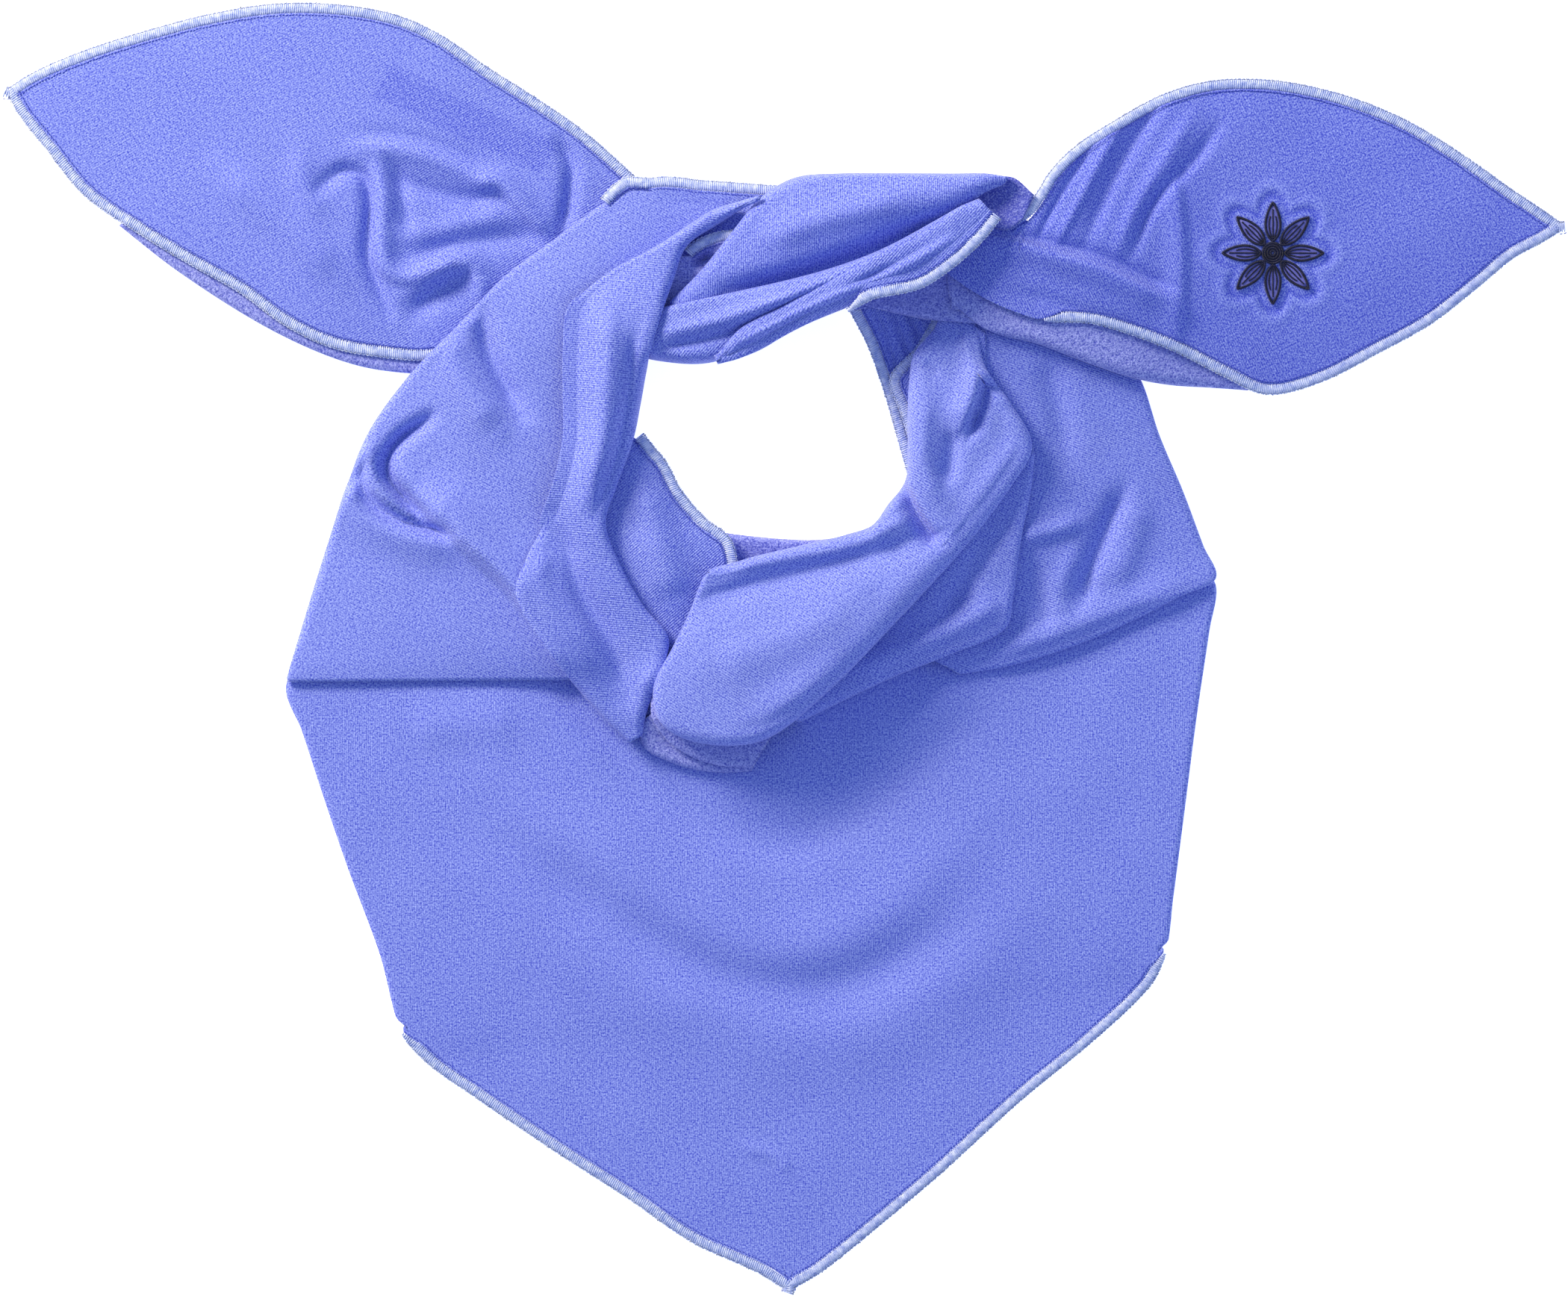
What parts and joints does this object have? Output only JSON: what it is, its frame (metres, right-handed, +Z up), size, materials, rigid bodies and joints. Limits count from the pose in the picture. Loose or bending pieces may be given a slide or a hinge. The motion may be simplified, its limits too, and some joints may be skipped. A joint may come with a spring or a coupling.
{
  "type": "neckerchief",
  "caption": "Soft jersey neckerchief laid flat: a pointed bib below a folded cowl and neck hole, tied in a knot with two pointed tails, edges bound in thread.",
  "frame": {"origin": "on the surface the cloth lies on, below the middle of its outline", "axes": "+X from the left tail's tip to the right tail's tip, +Y from the bib's tip to the knot, +Z up from the surface"},
  "size_m": [0.7117, 0.5894, 0.0537],
  "materials": {
    "jersey_face": "periwinkle brushed jersey, fine twill ribs, matt with a soft sheen",
    "jersey_back": "periwinkle fleeced back of the jersey, matt and slightly greyer",
    "edge_thread": "light blue overlock thread, satin",
    "motif_thread": "navy embroidery thread, satin"
  },
  "bodies": {
    "root": {"bib": "jersey_face", "tail_left": "jersey_face", "left_side": "jersey_face", "body_right": "jersey_face", "neck_back": "jersey_face", "neck_back_over": "jersey_face", "neckline_left": "jersey_face", "cowl_under": "jersey_face", "cowl_right": "jersey_face", "tail_right": "jersey_face", "knot_wrap": "jersey_face", "knot_roll_upper": "jersey_face", "knot_roll_lower": "jersey_face", "left_band": "jersey_face", "tail_left_back": "jersey_back", "neck_front_back": "jersey_back", "cowl_tip_lower": "jersey_back", "cowl_tip": "jersey_back", "knot_left_back": "jersey_back", "knot_right_back": "jersey_back", "tail_right_back": "jersey_back", "knot_inside": "jersey_back", "hem_bib_left": "edge_thread", "hem_bib_right": "edge_thread", "hem_tail_left_upper": "edge_thread", "hem_tail_left_lower": "edge_thread", "hem_strap": "edge_thread", "hem_neck_back": "edge_thread", "hem_neck_back_over": "edge_thread", "hem_neckline": "edge_thread", "hem_knot_left": "edge_thread", "hem_tail_right_upper": "edge_thread", "hem_tail_right_lower": "edge_thread", "hem_knot": "edge_thread", "embroidered_flower": "motif_thread"}
  },
  "joints": []
}
